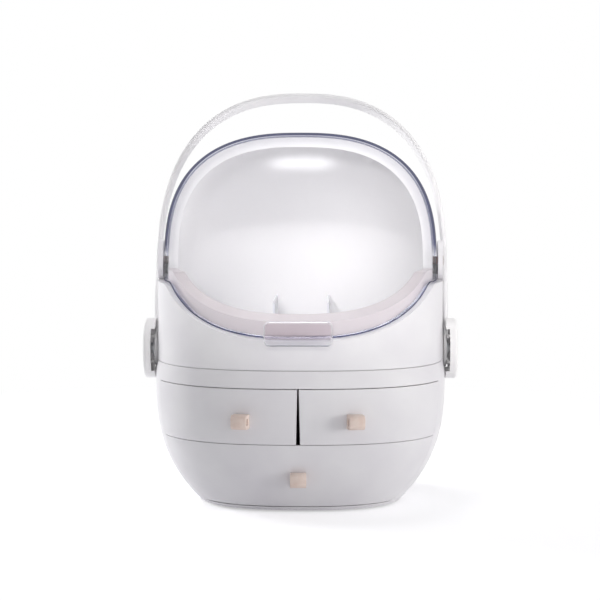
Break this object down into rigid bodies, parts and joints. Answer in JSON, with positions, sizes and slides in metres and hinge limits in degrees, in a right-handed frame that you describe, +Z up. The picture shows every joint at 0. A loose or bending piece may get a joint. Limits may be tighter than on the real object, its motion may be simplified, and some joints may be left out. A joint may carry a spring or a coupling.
{
  "type": "makeup organizer",
  "caption": "Rounded countertop makeup organizer with bowed drawers, a domed upper box under a clear swing-up lid, leather loop pulls and a carrying handle on side hubs.",
  "frame": {"origin": "centre of the footprint, on the surface that the feet stand on", "axes": "+Z up, the drawers and the clear lid face -Y, +X to the right seen from the front"},
  "size_m": [0.24, 0.2165, 0.3111],
  "materials": {
    "white_plastic": "satin moulded",
    "clear_plastic": "clear polished",
    "peach_leather": "smooth",
    "brown_plastic": "matt",
    "steel": "zinc plated",
    "rubber": "matt"
  },
  "bodies": {
    "cabinet": {"lower_housing": "white_plastic", "base_plate": "white_plastic", "drawer_frame": "white_plastic", "compartment_floor": "white_plastic", "upper_housing": "white_plastic", "dome_shell": "white_plastic", "lid_pin_left": "brown_plastic", "lid_pin_right": "brown_plastic", "lid_pin_clips": "steel", "hub_plate_left": "white_plastic", "hub_plate_right": "white_plastic", "friction_washers": "rubber", "retaining_washers": "steel", "pivot_screws": "steel", "pivot_nuts": "steel", "rubber_feet": "rubber", "base_screws": "steel", "housing_screws": "steel"},
    "clear_lid": {"lid": "clear_plastic"},
    "carrying_handle": {"handle": "white_plastic", "hub_cap_left": "white_plastic", "hub_cap_right": "white_plastic"},
    "left_drawer": {"drawer_left": "white_plastic", "pull_left": "peach_leather", "pull_rivet_left": "brown_plastic"},
    "right_drawer": {"drawer_right": "white_plastic", "pull_right": "peach_leather", "pull_rivet_right": "brown_plastic"},
    "wide_drawer": {"drawer_bottom": "white_plastic", "pull_bottom": "peach_leather", "pull_rivet_bottom": "brown_plastic"}
  },
  "joints": [
    {"name": "lid_hinge", "type": "hinge", "parent": "cabinet", "child": "clear_lid", "pos_m": [0, 0, 0.182], "axis": [-1, 0, 0], "range_deg": [0, 90]},
    {"name": "handle_hinge", "type": "hinge", "parent": "cabinet", "child": "carrying_handle", "pos_m": [0, 0, 0.1145], "axis": [1, 0, 0], "range_deg": [-62, 118]},
    {"name": "left_drawer_slide", "type": "slide", "parent": "cabinet", "child": "left_drawer", "axis": [0, -1, 0], "range_m": [0, 0.095]},
    {"name": "right_drawer_slide", "type": "slide", "parent": "cabinet", "child": "right_drawer", "axis": [0, -1, 0], "range_m": [0, 0.095]},
    {"name": "wide_drawer_slide", "type": "slide", "parent": "cabinet", "child": "wide_drawer", "axis": [0, -1, 0], "range_m": [0, 0.085]}
  ]
}
